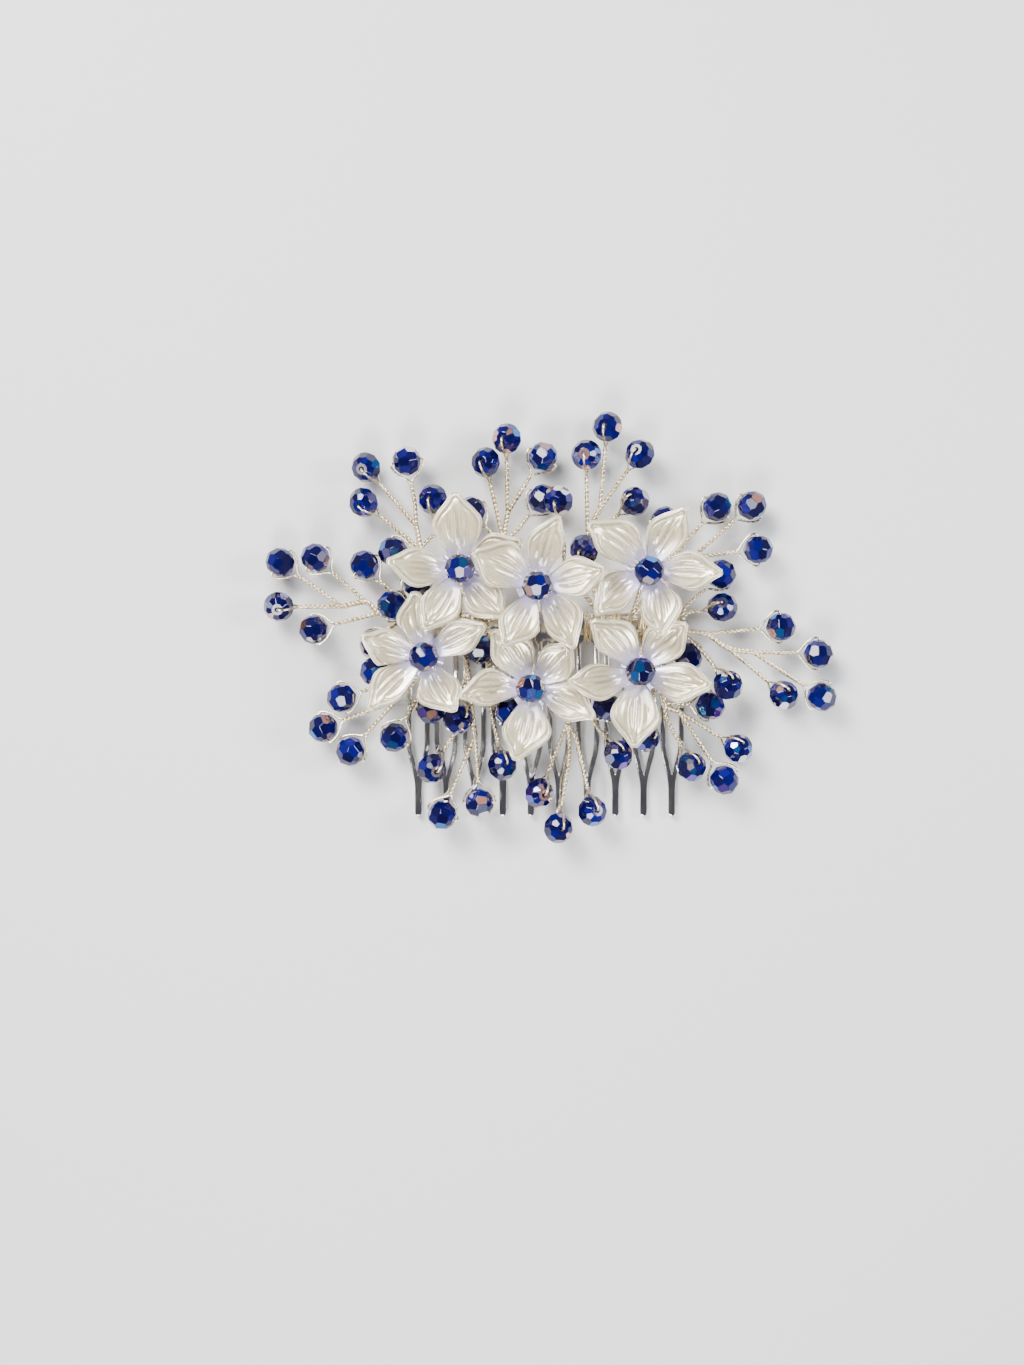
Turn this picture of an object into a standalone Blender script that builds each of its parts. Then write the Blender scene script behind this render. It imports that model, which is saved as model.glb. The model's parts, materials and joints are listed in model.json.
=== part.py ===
"""Decorative hair comb: a ten-tooth metal comb, six moulded flowers and sprays of beads on twisted wire.

The frame has its origin at the centre of the comb's spine, on its underside. The teeth point along -Y,
the decorated side faces +Z and the spine runs along X. Lengths are in metres.
"""

import math

import bmesh
import bpy
from mathutils import Matrix, Vector

MM = 0.001

# Comb
TOOTH_COUNT = 10
TOOTH_PITCH = 5.7 * MM
TOOTH_WIDTH = 4.9 * MM  # over both legs, at the spine
LEG_WIDTH = 1.2 * MM
TIP_WIDTH = 1.45 * MM
TOOTH_LENGTH = 35.2 * MM  # from the spine's lower edge
LEGS_MEET = 27.0 * MM  # how far down the slot between two legs ends
SPINE_UPPER = 2.5 * MM  # the spine's edges, from its centre line
SPINE_LOWER = 3.0 * MM
COMB_THICKNESS = 1.2 * MM
TOOTH_BOW = 1.5 * MM  # how far the teeth arch up between spine and tips
TIP_FLAT = 5.0 * MM  # the flat length at each tip

# Wire
WIRE_RADIUS = 0.2 * MM
STEM_RADIUS = 1.7 * WIRE_RADIUS  # a pair of wires twisted together
TRUNK_RADIUS = 2.1 * WIRE_RADIUS  # several pairs
GAP = 0.3 * MM  # clearance between pieces that lie against each other
TURNS_PER_SLOT = 2

# Beads
BEAD_DIAMETER = 6.0 * MM
BEAD_LENGTH = 5.2 * MM  # along its hole
BEAD_SIDES = 8
BEAD_STEP = BEAD_DIAMETER / 6  # the sprays are laid out in this unit, so bigger beads spread wider

# Flowers
PETAL_LENGTH = 14.5 * MM
PETAL_THICKNESS = 1.1 * MM
PETAL_RISE = 2.0 * MM  # how far a petal's tip stands above the hub
FLOWER_HOLE = 0.8 * MM
GAP_RADIUS = 3.5 * MM  # where the gaps between petals start, from the hub's centre
WIDEST_PETAL = 37.0  # the most that half a petal spreads, in degrees
SIDE_GAP = 4.5  # half the gap between two petals, in degrees
FLOWER_STEP = PETAL_LENGTH / 14.5  # the flowers are laid out in this unit
LAYER_STEP = PETAL_THICKNESS + 0.95 * MM  # from one layer of petals to the next

CROWN = COMB_THICKNESS + TOOTH_BOW
FOOT_Z = COMB_THICKNESS + GAP + TRUNK_RADIUS
BINDING_TOP = FOOT_Z + TRUNK_RADIUS + GAP + WIRE_RADIUS
RISER_TOP = BINDING_TOP + WIRE_RADIUS + GAP + TRUNK_RADIUS + 0.3 * MM
UPPER_ROW = SPINE_UPPER - GAP - 2 * TRUNK_RADIUS
LOWER_ROW = -UPPER_ROW
FIRST_LAYER = CROWN + BEAD_DIAMETER + 0.9 * MM  # the lowest flowers' undersides

# A petal's edge: how far across from its middle line, and how far out from the hub, as shares.
PETAL_EDGE = ((0.0, 1.0), (0.3, 0.83), (0.62, 0.62), (0.88, 0.48), (1.0, 0.0))

# Each flower: hub x and y in flower steps, its layer, which gap its wire comes down through (counted anticlockwise
# from the one after the first petal), and five petals as (direction in degrees, share of PETAL_LENGTH).
FLOWERS = {
    "upper_left": (-16.8, 10.6, 2.0, 2, [(94, 1.05), (172, 1.0), (238, 0.94), (310, 0.9), (24, 0.92)]),
    "upper_middle": (-1.8, 7.1, 3.2, 2, [(79, 1.0), (149, 0.96), (240, 0.91), (306, 0.97), (14, 0.95)]),
    "upper_right": (19.8, 10.1, 2.2, 3, [(62, 1.0), (136, 1.04), (213, 0.92), (287, 0.91), (1, 1.0)]),
    "lower_left": (-23.9, -6.5, 1.0, 1, [(28, 0.95), (97, 0.9), (165, 0.89), (220, 1.05), (295, 0.85)]),
    "lower_middle": (-3.0, -12.7, 0.0, 0, [(46, 0.84), (119, 0.96), (181, 0.99), (262, 1.0), (339, 0.96)]),
    "lower_right": (18.3, -9.4, 1.1, 0, [(49, 0.91), (128, 0.96), (188, 1.0), (265, 1.03), (347, 1.0)]),
}

# Each wire: its row on the spine, the gaps between teeth that its foot starts and ends at (counted from the
# middle), and its branches. A branch is (start, points on its way, bead), in bead steps, with heights above
# the crown of the teeth. A start is a gap's number or a named point; a point may be given a name; a bead is
# (x, y, height, roll of its hole in degrees: 0 lies level across the stem, 90 stands upright).
WIRES = {
    "upper_left": {
        "row": "upper",
        "foot": (-4, -3),
        "flower": {"upper_left": -3},
        "branches": [
            (-4, [(-24.5, 8.5, 2.2), ("low", -25.1, 15.3, 2.4), ("fork", -25.9, 19.9, 2.4)], None),
            ("fork", [], (-36.0, 31.6, 2.4, 70)),
            ("fork", [(-26.2, 24.5, 2.6)], (-27.8, 32.9, 2.8, 8)),
            ("low", [], (-36.5, 24.6, 2.2, 65)),
            ("low", [(-22.1, 18.6, 2.8)], (-22.6, 25.2, 2.8, 75)),
            (-4, [("elbow", -28.0, 1.2, 1.9), ("near", -33.4, 2.4, 2.1), ("mid", -36.0, 4.6, 2.2),
                  ("far", -40.8, 3.7, 2.2)], None),
            ("far", [], (-53.5, 3.7, 2.2, 75)),
            ("far", [], (-53.2, 12.6, 2.0, 10)),
            ("mid", [], (-46.1, 13.5, 2.3, 5)),
            ("near", [], (-46.5, -0.9, 2.0, 15)),
            ("elbow", [(-30.4, 6.0, 2.2)], (-36.3, 12.1, 2.2, 12)),
            ("elbow", [(-26.4, 2.2, 5.0)], (-30.6, 3.8, 6.1, 10)),
        ],
    },
    "upper_middle": {
        "row": "upper",
        "foot": (-2, -1),
        "flower": {"upper_middle": -1},
        "branches": [
            (-2, [(-9.6, 9.0, 2.3), ("low", -8.5, 17.1, 2.4), ("fork", -7.6, 22.4, 2.6)], None),
            ("low", [], (-12.0, 32.7, 2.0, 68)),
            ("fork", [], (-7.8, 37.3, 3.4, 72)),
            ("fork", [], (-0.5, 33.8, 2.4, 10)),
        ],
    },
    "upper_right": {
        "row": "upper",
        "foot": (2, 3),
        "flower": {"upper_right": 3},
        "branches": [
            (2, [(9.3, 9.5, 2.3), ("low", 8.4, 17.6, 2.4), ("fork", 10.9, 23.2, 2.4)], None),
            ("fork", [], (12.4, 39.8, 2.4, 74)),
            ("fork", [], (18.9, 34.3, 2.6, 66)),
            ("low", [], (8.2, 34.1, 2.8, 78)),
            ("low", [(12.6, 20.4, 2.6)], (17.9, 24.8, 2.6, 60)),
            (3, [(21.5, 7.5, 2.3), ("side", 25.2, 13.2, 2.4), ("twig", 29.6, 13.6, 2.4)], None),
            ("side", [], (34.4, 23.7, 2.5, 8)),
            ("twig", [], (41.4, 24.0, 2.3, 12)),
            ("twig", [], (42.7, 15.2, 2.1, 6)),
        ],
    },
    "right": {
        "row": "upper",
        "foot": (4, 4.6),
        "flower": {},
        "branches": [
            (4, [("root", 26.9, -0.8, 2.0), ("near", 32.2, -1.8, 2.2), ("mid", 36.6, -4.6, 2.2),
                 ("far", 41.5, -5.4, 2.3)], None),
            ("near", [], (47.2, -0.3, 2.3, 8)),
            ("far", [], (54.8, -5.7, 2.2, 10)),
            ("far", [], (55.5, -14.4, 2.0, 12)),
            ("mid", [], (47.8, -14.0, 2.2, 66)),
            ("root", [(28.2, 2.3, 2.6)], (35.4, 3.6, 3.0, 72)),
            ("root", [(31.4, -5.4, 4.2)], (36.2, -12.0, 6.2, 64)),
        ],
    },
    "lower_right": {
        "row": "lower",
        "foot": (1, 4),
        "flower": {"lower_right": 3},
        "branches": [
            (1, [(4.7, -10.0, 2.6), ("fork", 4.4, -19.6, 3.0)], None),
            ("fork", [(6.3, -23.4, 3.1)], (9.4, -37.2, 3.6, 70)),
            ("fork", [(4.7, -26.0, 3.2)], (2.6, -40.6, 3.6, 74)),
            ("fork", [], (-1.2, -33.6, 3.6, 68)),
            (4, [(23.0, -9.0, 2.5), ("side", 23.7, -15.6, 3.0), ("twig", 26.7, -17.3, 3.0)], None),
            ("twig", [], (38.6, -24.7, 2.8, 62)),
            ("twig", [], (35.8, -31.0, 2.9, 8)),
            ("side", [(24.4, -19.0, 3.2)], (29.2, -28.3, 3.4, 60)),
        ],
    },
    "lower_left": {
        "row": "lower",
        "foot": (-4, -2),
        "flower": {"lower_left": -4, "lower_middle": -2},
        "branches": [
            (-4, [("root", -24.6, -8.6, 2.4), ("fork", -30.0, -15.2, 2.5)], None),
            ("root", [(-25.7, -14.4, 2.7)], (-30.3, -22.5, 2.8, 10)),
            ("fork", [], (-39.1, -25.3, 2.2, 8)),
            ("fork", [], (-44.6, -20.6, 2.5, 12)),
            ("root", [(-33.6, -12.2, 2.4)], (-40.9, -14.6, 2.3, 6)),
            (-3, [(-15.6, -9.0, 2.8), ("low", -14.8, -16.4, 3.0), ("twig", -14.1, -22.2, 3.1)], None),
            ("twig", [], (-13.2, -35.6, 3.6, 8)),
            ("twig", [], (-20.7, -38.0, 3.4, 10)),
            ("low", [], (-22.7, -28.7, 3.6, 64)),
            (-2, [(-10.9, -16.2, 3.0)], (-8.6, -28.0, 3.6, 70)),
        ],
    },
}

COLOURS = {
    "comb": ((0.86, 0.87, 0.90), 1.0, 0.12),
    "wire": ((0.84, 0.80, 0.70), 1.0, 0.25),
    "binding": ((0.83, 0.76, 0.58), 1.0, 0.25),
    "bead": ((0.02, 0.05, 0.42), 0.0, 0.05),
    "petal": ((0.90, 0.88, 0.84), 0.0, 0.25),
}


def material(kind):
    """One Principled material for each kind of piece."""
    colour, metallic, roughness = COLOURS[kind]
    found = bpy.data.materials.new(kind)
    found.use_nodes = True
    shader = found.node_tree.nodes["Principled BSDF"]
    shader.inputs["Base Color"].default_value = (*colour, 1)
    shader.inputs["Metallic"].default_value = metallic
    shader.inputs["Roughness"].default_value = roughness
    found.diffuse_color = (*colour, 1)
    return found


def add_piece(name, mesh, kind, smooth=False):
    """A finished mesh as a named piece of the comb."""
    piece = bpy.data.objects.new(name, mesh)
    parts.objects.link(piece)
    mesh.materials.clear()
    mesh.materials.append(material(kind))
    if smooth:
        mesh.shade_smooth()
        mesh.set_sharp_from_angle(angle=math.radians(40))
    return piece


def mesh_of(source):
    """An object's evaluated shape in world space as a closed mesh, with the object removed."""
    bpy.context.view_layer.update()
    graph = bpy.context.evaluated_depsgraph_get()
    mesh = bpy.data.meshes.new_from_object(source.evaluated_get(graph))
    mesh.transform(source.matrix_world)
    solid = bmesh.new()
    solid.from_mesh(mesh)
    bmesh.ops.remove_doubles(solid, verts=solid.verts, dist=0.001 * MM)
    bmesh.ops.recalc_face_normals(solid, faces=solid.faces)
    solid.to_mesh(mesh)
    solid.free()
    data = source.data
    bpy.data.objects.remove(source)
    if isinstance(data, bpy.types.Curve):
        bpy.data.curves.remove(data)
    else:
        bpy.data.meshes.remove(data)
    return mesh


def tube(points, radius):
    """A wire through the points, as an object among the shapes to be joined: thin ones have four sides."""
    curve = bpy.data.curves.new("tube", "CURVE")
    curve.dimensions = "3D"
    curve.bevel_depth = radius
    curve.bevel_resolution = 0 if radius == WIRE_RADIUS else 1
    curve.use_fill_caps = True
    spline = curve.splines.new("POLY")
    spline.points.add(len(points) - 1)
    for spot, point in zip(spline.points, points):
        spot.co = (*point, 1)
    wire = bpy.data.objects.new("tube", curve)
    cutters.objects.link(wire)
    return wire


def joined(shapes):
    """One closed mesh from overlapping tubes."""
    solids = []
    for shape in shapes:
        solid = bpy.data.objects.new("solid", mesh_of(shape))
        solid.hide_render = True
        solid.display_type = "WIRE"
        cutters.objects.link(solid)
        solids.append(solid)
    base, others = solids[0], solids[1:]
    for other in others:
        union = base.modifiers.new("union", "BOOLEAN")
        union.operation = "UNION"
        union.solver = "MANIFOLD"
        union.object = other
    mesh = mesh_of(base)
    for other in others:
        data = other.data
        bpy.data.objects.remove(other)
        bpy.data.meshes.remove(data)
    return mesh


# Comb


def tooth_x(index):
    return (index - (TOOTH_COUNT - 1) / 2) * TOOTH_PITCH


def tooth_half_width(down):
    """Half the width over both legs, at a distance down from the spine."""
    bend = 0.76 * LEGS_MEET
    if down <= bend:
        return TOOTH_WIDTH / 2
    share = min((down - bend) / (LEGS_MEET + LEG_WIDTH * 2.5 - bend), 1)
    return TOOTH_WIDTH / 2 + (TIP_WIDTH - TOOTH_WIDTH) / 2 * (share * share * (3 - 2 * share))


def arc(centre, radius, start, end, steps):
    """Points round part of a circle, from the start angle to the end angle in degrees."""
    angles = [math.radians(start + (end - start) * step / steps) for step in range(steps + 1)]
    return [(centre[0] + radius * math.cos(a), centre[1] + radius * math.sin(a)) for a in angles]


def comb_outline():
    """The comb's outer edge, anticlockwise from the spine's upper right corner."""
    end_x = tooth_x(TOOTH_COUNT - 1) + TOOTH_WIDTH / 2
    corner = 1.2 * MM
    outline = arc((end_x - corner, SPINE_UPPER - corner), corner, 0, 90, 3)
    outline += arc((-end_x + corner, SPINE_UPPER - corner), corner, 90, 180, 3)
    levels = [TOOTH_LENGTH * share for share in (0.12, 0.3, 0.45, 0.58, 0.66, 0.74, 0.82, 0.9)]
    tip_y = -SPINE_LOWER - TOOTH_LENGTH
    gap_radius = (TOOTH_PITCH - TOOTH_WIDTH) / 2
    for index in range(TOOTH_COUNT):
        x = tooth_x(index)
        outline += [(x - tooth_half_width(down), -SPINE_LOWER - down) for down in levels]
        outline += arc((x, tip_y + TIP_WIDTH / 2), TIP_WIDTH / 2, 180, 360, 4)
        outline += [(x + tooth_half_width(down), -SPINE_LOWER - down) for down in reversed(levels)]
        if index < TOOTH_COUNT - 1:
            outline += arc((x + TOOTH_PITCH / 2, -SPINE_LOWER - gap_radius), gap_radius, 180, 0, 2)
    return outline


def slot_outline(x):
    """The slot between a tooth's two legs."""
    levels = [LEGS_MEET * share for share in (0.15, 0.35, 0.55, 0.72, 0.82, 0.92)]
    half = TOOTH_WIDTH / 2 - LEG_WIDTH
    right = [(x + max(tooth_half_width(down) - LEG_WIDTH, 0.35 * MM), -SPINE_LOWER - down) for down in levels]
    left = [(2 * x - px, py) for px, py in reversed(right)]
    top = arc((x, -SPINE_LOWER - half), half, 180, 0, 4)
    return top + right + [(x, -SPINE_LOWER - LEGS_MEET)] + left


def bow(down):
    """How far the comb stands up at a distance below the spine's lower edge."""
    span = TOOTH_LENGTH - TIP_FLAT
    if down <= 0 or down >= span:
        return 0.0
    return TOOTH_BOW * math.sin(math.pi * down / span) ** 2


def build_comb():
    curve = bpy.data.curves.new("comb_outline", "CURVE")
    curve.dimensions = "2D"
    curve.fill_mode = "BOTH"
    curve.extrude = COMB_THICKNESS / 2
    outlines = [comb_outline()] + [slot_outline(tooth_x(index)) for index in range(TOOTH_COUNT)]
    for points in outlines:
        spline = curve.splines.new("POLY")
        spline.points.add(len(points) - 1)
        spline.use_cyclic_u = True
        for spot, (x, y) in zip(spline.points, points):
            spot.co = (x, y, 0, 1)
    plate = bpy.data.objects.new("comb_plate", curve)
    plate.location.z = COMB_THICKNESS / 2
    cutters.objects.link(plate)
    mesh = mesh_of(plate)
    solid = bmesh.new()
    solid.from_mesh(mesh)
    bmesh.ops.beautify_fill(solid, faces=solid.faces, edges=solid.edges)  # so that no triangle crosses the bow
    for vertex in solid.verts:
        vertex.co.z += bow(-SPINE_LOWER - vertex.co.y)
    solid.to_mesh(mesh)
    solid.free()
    add_piece("comb", mesh, "comb", smooth=True)


def build_binding_wire():
    """The thin wire lashed round the spine and the feet of all the sprays, down through each tooth's slot."""
    back = SPINE_UPPER + GAP + WIRE_RADIUS
    front = -SPINE_LOWER - GAP - 2 * WIRE_RADIUS
    under = -GAP - WIRE_RADIUS
    turn_step = 2 * WIRE_RADIUS + 0.5 * MM
    first_turn = -(TURNS_PER_SLOT - 1) / 2 * turn_step
    columns = [
        tooth_x(index) + first_turn + turn * turn_step
        for index in range(TOOTH_COUNT)
        for turn in range(TURNS_PER_SLOT)
    ]
    points = []
    for here, following in zip(columns, columns[1:] + [None]):
        points += [(here, back, under + GAP), (here, back, BINDING_TOP), (here, front, BINDING_TOP)]
        points += [(here, front, under)]
        if following is not None:
            points += [(following, back, under)]
    add_piece("binding_wire", mesh_of(tube(points, WIRE_RADIUS)), "binding")


# Beads


def bead_mesh():
    """A faceted bead: half its outline turned round its hole, which lies along Z."""
    half = BEAD_LENGTH / 2
    radius = BEAD_DIAMETER / 2
    hole = WIRE_RADIUS + GAP + 0.06 * MM
    upper = [(hole, 0.92 * half), (0.55 * radius, half), (radius, 0.3 * half)]
    outline = upper + [(x, -z) for x, z in reversed(upper)]
    profile = bpy.data.meshes.new("bead_profile")
    edges = [(i, (i + 1) % len(outline)) for i in range(len(outline))]
    profile.from_pydata([(x, 0, z) for x, z in outline], edges, [])
    turned = bpy.data.objects.new("bead_profile", profile)
    cutters.objects.link(turned)
    screw = turned.modifiers.new("turn", "SCREW")
    screw.steps = screw.render_steps = BEAD_SIDES
    screw.use_merge_vertices = True
    screw.merge_threshold = 0.01 * MM
    return mesh_of(turned)


def add_bead(name, centre, hole_axis, mesh):
    bead = bpy.data.objects.new(name, mesh)
    parts.objects.link(bead)
    turn = Vector((0, 0, 1)).rotation_difference(hole_axis)
    bead.matrix_world = Matrix.Translation(centre) @ turn.to_matrix().to_4x4()
    return bead


def hole_axis_for(stem, roll):
    """The hole's direction: level across the stem at roll 0, turned up about the stem by the roll."""
    level = Vector((-stem.y, stem.x, 0)).normalized()
    return (Matrix.Rotation(math.radians(roll), 3, stem) @ level).normalized()


def bead_loop(centre, stem, hole_axis):
    """The wire round a bead: up one side of it, through its hole and back down the other side."""
    reach = BEAD_DIAMETER / 2
    half = BEAD_LENGTH / 2
    side = [
        (-(reach + 1.7 * MM), 1.25 * WIRE_RADIUS),
        (-(reach + 0.5 * MM), 0.5 * half),
        (-(0.8 * reach), half - 0.15 * MM),
        (-(0.5 * reach), half + 0.75 * MM),
        (0.0, half + 0.6 * MM),
    ]
    path = side + [(u, -h) for u, h in reversed(side)]
    return [centre + stem * u + hole_axis * h for u, h in path]


# Flowers


def flower_hub(name):
    x, y, layer, _, _ = FLOWERS[name]
    return Vector((x * FLOWER_STEP, y * FLOWER_STEP, FIRST_LAYER + layer * LAYER_STEP))


def petal_edge(name):
    """(direction, reach, place across) round the flower: 0 on a petal's middle line, 1 at its side."""
    petals = FLOWERS[name][4]
    columns = []
    for index, (direction, share) in enumerate(petals):
        before = (direction - petals[index - 1][0]) % 360 / 2
        after = (petals[(index + 1) % len(petals)][0] - direction) % 360 / 2
        out = share * PETAL_LENGTH - GAP_RADIUS
        left = [(-across, reach) for across, reach in reversed(PETAL_EDGE[1:])]
        for across, reach in left + list(PETAL_EDGE):
            half_angle = min(before if across < 0 else after, WIDEST_PETAL) - SIDE_GAP
            angle = math.radians(direction + across * half_angle)
            columns.append((angle, GAP_RADIUS + out * reach, abs(across)))
    return columns


def petal_height(radius, across):
    """A petal's height above the hub: it dishes up towards its tip and along its edges."""
    out = radius / PETAL_LENGTH
    return PETAL_RISE * out ** 1.6 + 0.5 * MM * across * across * out


def build_flower(name):
    """One moulded flower: a dished star of five petals round a hole."""
    columns = petal_edge(name)
    shares = (0.0, 0.5, 1.0)
    flat = bmesh.new()
    rings = []
    for share in shares:
        ring = []
        for angle, reach, across in columns:
            radius = FLOWER_HOLE + (reach - FLOWER_HOLE) * share
            height = petal_height(radius, across * share)
            ring.append(flat.verts.new((radius * math.cos(angle), radius * math.sin(angle), height)))
        rings.append(ring)
    for inner, outer in zip(rings, rings[1:]):
        for index in range(len(columns)):
            after = (index + 1) % len(columns)
            flat.faces.new((inner[index], outer[index], outer[after], inner[after]))
    raised = bmesh.ops.extrude_face_region(flat, geom=flat.faces[:])["geom"]
    upper = [part for part in raised if isinstance(part, bmesh.types.BMVert)]
    bmesh.ops.translate(flat, verts=upper, vec=(0, 0, PETAL_THICKNESS))
    bmesh.ops.recalc_face_normals(flat, faces=flat.faces)
    bmesh.ops.translate(flat, verts=flat.verts, vec=flower_hub(name))
    mesh = bpy.data.meshes.new(f"flower_{name}")
    flat.to_mesh(mesh)
    flat.free()
    add_piece(f"flower_{name}", mesh, "petal", smooth=True)


def centre_bead_place(name):
    """The centre of the bead over a flower's hub, and the direction of its hole."""
    _, _, _, gap, petals = FLOWERS[name]
    before, after = petals[gap][0], petals[(gap + 1) % len(petals)][0]
    towards = math.radians(before + (after - before) % 360 / 2)
    lift = PETAL_THICKNESS + 2 * GAP + 2 * WIRE_RADIUS + BEAD_DIAMETER / 2
    return flower_hub(name) + Vector((0, 0, lift)), Vector((math.cos(towards), math.sin(towards), 0))


def flower_loop(name):
    """The wire that ties a flower down: up through its hub, through the bead, and down between two petals."""
    centre, out = centre_bead_place(name)
    hub = flower_hub(name)
    half = BEAD_LENGTH / 2 + 0.6 * MM
    wire_lift = PETAL_THICKNESS + GAP + WIRE_RADIUS
    clear = GAP_RADIUS + GAP + 2 * WIRE_RADIUS
    below = hub - Vector((0, 0, 1.6 * MM))
    return [
        below,
        hub + Vector((0, 0, wire_lift)),
        hub + Vector((0, 0, wire_lift + 0.1 * MM)) - out * 0.75 * half,
        hub + Vector((0, 0, wire_lift + 0.9 * MM)) - out * (half + 0.3 * MM),
        centre - out * (half + 0.1 * MM),
        centre + out * (half + 0.1 * MM),
        centre + out * (clear + 0.5 * MM) - Vector((0, 0, 1.0 * MM)),
        hub + out * (clear + 0.6 * MM) + Vector((0, 0, 0.6 * PETAL_THICKNESS)),
        hub + out * (0.8 * clear) - Vector((0, 0, 1.0 * MM)),
        below - Vector((0, 0, 0.9 * MM)) + out * 0.5 * STEM_RADIUS,
    ]


# Sprays


def place(point):
    """A point of the layout, in metres."""
    x, y, height = point
    return Vector((x * BEAD_STEP, y * BEAD_STEP, CROWN + height * BEAD_STEP))


def build_wire(name, beads):
    """One wire with all its branches, and the beads on it."""
    layout = WIRES[name]
    row_y = UPPER_ROW if layout["row"] == "upper" else LOWER_ROW
    first, last = layout["foot"]
    overrun = 1.5 * MM

    def riser(gap):
        return [Vector((gap * TOOTH_PITCH, row_y, FOOT_Z)), Vector((gap * TOOTH_PITCH, row_y, RISER_TOP))]

    foot_ends = (first * TOOTH_PITCH - overrun, last * TOOTH_PITCH + overrun)
    shapes = [tube([Vector((x, row_y, FOOT_Z)) for x in foot_ends], TRUNK_RADIUS)]
    named = {}
    count = 0
    for start, way, bead in layout["branches"]:
        route = [named[start]] if start in named else riser(start)
        for point in way:
            if len(point) == 4:
                named[point[0]] = place(point[1:])
                route.append(named[point[0]])
            else:
                route.append(place(point))
        if bead is None:
            shapes.append(tube(route, TRUNK_RADIUS))
            continue
        centre = place(bead[:3])
        stem = (centre - route[-1]).normalized()
        route.append(centre - stem * (BEAD_DIAMETER / 2 + 1.35 * MM))
        shapes.append(tube(route, STEM_RADIUS))
        hole_axis = hole_axis_for(stem, bead[3])
        shapes.append(tube(bead_loop(centre, stem, hole_axis), WIRE_RADIUS))
        count += 1
        add_bead(f"bead_{name}_{count}", centre, hole_axis, beads)
    for flower, gap in layout["flower"].items():
        hub = flower_hub(flower)
        knee = Vector((hub.x, hub.y, 0.5 * (RISER_TOP + hub.z - 2 * MM)))
        shapes.append(tube(riser(gap) + [knee, hub - Vector((0, 0, 1.5 * MM))], STEM_RADIUS))
        shapes.append(tube(flower_loop(flower), WIRE_RADIUS))
        centre, hole_axis = centre_bead_place(flower)
        add_bead(f"centre_bead_{flower}", centre, hole_axis, beads)
    add_piece(f"wire_{name}", joined(shapes), "wire", smooth=True)


for old in list(bpy.data.objects):
    bpy.data.objects.remove(old)
parts = bpy.data.collections.new("hair_comb")
cutters = bpy.data.collections.new("cutters")
for collection in (parts, cutters):
    bpy.context.scene.collection.children.link(collection)

build_comb()
build_binding_wire()
shared_bead = bead_mesh()
shared_bead.name = "bead"
shared_bead.materials.append(material("bead"))
for flower_name in FLOWERS:
    build_flower(flower_name)
for wire_name in WIRES:
    build_wire(wire_name, shared_bead)
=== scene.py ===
import json
import math
import random

import bmesh
import bpy
from mathutils import Matrix, Vector


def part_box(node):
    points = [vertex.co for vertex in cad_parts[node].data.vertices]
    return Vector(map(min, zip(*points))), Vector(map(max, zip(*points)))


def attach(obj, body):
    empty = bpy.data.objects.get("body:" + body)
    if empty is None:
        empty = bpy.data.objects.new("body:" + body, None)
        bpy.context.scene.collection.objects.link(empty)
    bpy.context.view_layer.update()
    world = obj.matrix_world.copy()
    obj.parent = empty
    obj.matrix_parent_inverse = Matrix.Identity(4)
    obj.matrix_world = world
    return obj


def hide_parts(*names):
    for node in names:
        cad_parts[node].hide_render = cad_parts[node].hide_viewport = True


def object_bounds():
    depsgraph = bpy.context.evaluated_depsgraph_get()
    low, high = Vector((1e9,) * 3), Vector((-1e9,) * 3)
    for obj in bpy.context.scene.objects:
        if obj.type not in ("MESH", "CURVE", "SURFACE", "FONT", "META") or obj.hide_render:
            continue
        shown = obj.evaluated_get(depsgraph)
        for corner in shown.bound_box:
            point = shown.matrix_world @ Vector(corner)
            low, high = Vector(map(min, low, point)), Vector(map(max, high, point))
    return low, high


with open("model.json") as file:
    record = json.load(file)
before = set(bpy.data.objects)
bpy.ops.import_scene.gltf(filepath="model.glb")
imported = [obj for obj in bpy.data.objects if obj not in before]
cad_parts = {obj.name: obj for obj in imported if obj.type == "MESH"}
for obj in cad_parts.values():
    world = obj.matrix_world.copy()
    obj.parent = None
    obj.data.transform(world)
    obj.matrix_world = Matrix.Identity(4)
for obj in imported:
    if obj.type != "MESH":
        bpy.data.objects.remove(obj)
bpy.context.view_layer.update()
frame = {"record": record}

mm = 0.001
joints = {joint["name"]: joint for joint in frame["record"]["behaviour"]["joints"]}

view = {
    "aim": (-6.7 * mm, -11.5 * mm),  # the camera looks straight down at this spot
    "height": 400 * mm,
    "fieldWidth": 204.8 * mm,  # what it sees across, at bead height
    "focusHeight": 6 * mm,
}

comb = {
    "teeth": 10,
    "pitch": 5.7 * mm,
    "toothWidth": 4.9 * mm,
    "legWidth": 1.2 * mm,
    "tipWidth": 1.5 * mm,
    "toothLength": 35.6 * mm,
    "legsMeet": 27.0 * mm,
    "taperFrom": 0.76,  # where a tooth starts to narrow, as a share of the way to where its legs meet
    "webLength": 2.5,  # from where the legs meet to where the tip is straight, in leg widths
    "slotHalf": 0.35 * mm,  # half the slot between two legs where they come together
    "spineUpper": 2.5 * mm,
    "spineLower": 3.0 * mm,
    "thickness": 1.2 * mm,
    "bow": 1.5 * mm,
    "tipFlat": 5.0 * mm,
    "corner": 1.2 * mm,
    "rounding": 0.24 * mm,
}
crown = comb["thickness"] + comb["bow"]  # the sprays' heights are counted from here

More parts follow.
